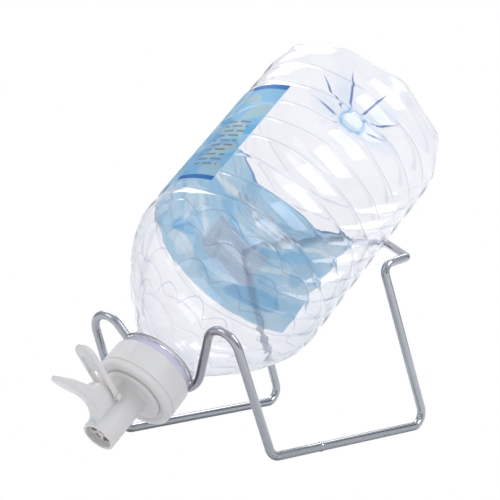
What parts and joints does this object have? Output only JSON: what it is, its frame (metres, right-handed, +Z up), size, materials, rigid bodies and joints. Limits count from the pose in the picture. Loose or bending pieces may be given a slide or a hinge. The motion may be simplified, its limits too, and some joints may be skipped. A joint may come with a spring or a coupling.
{
  "type": "water_dispenser",
  "caption": "Clear ribbed water bottle lying tilted in a chromed wire rack, with a white squeeze-lever tap screwed onto its neck",
  "frame": {"origin": "on the table, at the middle of the rack's footprint", "axes": "+Z up; -Y is the way the spout points, seen from above; +X is across, with the rack's weld on its side"},
  "size_m": [0.1569, 0.3559, 0.2918],
  "materials": {
    "wire": "bright chromed steel wire",
    "clear": "clear blown PET",
    "label": "printed clear film",
    "band": "moulded, blue-violet",
    "moulding": "white, satin moulded",
    "soft": "soft silicone",
    "spring": "stainless spring wire"
  },
  "bodies": {
    "rack": {"front_cradle_wire": "wire", "rear_support_wire": "wire", "left_base_rail": "wire", "right_rail_front": "wire", "right_rail_rear": "wire", "rail_weld": "wire"},
    "bottle": {"bottle_neck": "clear", "bottle_shoulder_left": "clear", "bottle_shoulder_right": "clear", "bottle_front_barrel_left": "clear", "bottle_front_barrel_right": "clear", "bottle_rear_barrel_left": "clear", "bottle_rear_barrel_right": "clear", "bottle_base_left": "clear", "bottle_base_right": "clear", "label_film": "label", "tamper_band": "band"},
    "cap_carrier": {"cap_gasket": "soft"},
    "tap": {"screw_cap": "moulding", "tap_body": "moulding", "pivot_pin": "moulding", "spring_cage": "moulding", "stem_guide": "moulding", "return_spring": "spring"},
    "lever": {"squeeze_lever": "moulding"},
    "valve": {"valve_stem": "moulding", "valve_head": "moulding", "valve_seal": "soft"}
  },
  "joints": [
    {"name": "bottle_lift", "type": "slide", "parent": "rack", "child": "bottle", "axis": [0, 0, 1], "range_m": [0, 0.12]},
    {"name": "cap_travel", "type": "slide", "parent": "bottle", "child": "cap_carrier", "axis": [0, -0.788, -0.6157], "range_m": [0, 0.0095]},
    {"name": "tap_turn", "type": "hinge", "parent": "cap_carrier", "child": "tap", "pos_m": [0, -0.1439, 0.0501], "axis": [0, -0.788, -0.6157], "range_deg": [0, 540]},
    {"name": "lever_squeeze", "type": "hinge", "parent": "tap", "child": "lever", "pos_m": [0, -0.16898, 0.0489], "axis": [1, 0, 0], "range_deg": [0, 15.5], "stiffness_Nm_per_rad": 0.25, "springref_deg": -9.74},
    {"name": "valve_lift", "type": "slide", "parent": "tap", "child": "valve", "axis": [0, 0.788, 0.6157], "range_m": [0, 0.0028], "deforming": ["return_spring"]}
  ],
  "couplings": [
    {"joint": "cap_travel", "follows": "tap_turn", "m_per_rad": 0.00095493},
    {"joint": "lever_squeeze", "follows": "valve_lift", "rad_per_m": 90.909}
  ]
}
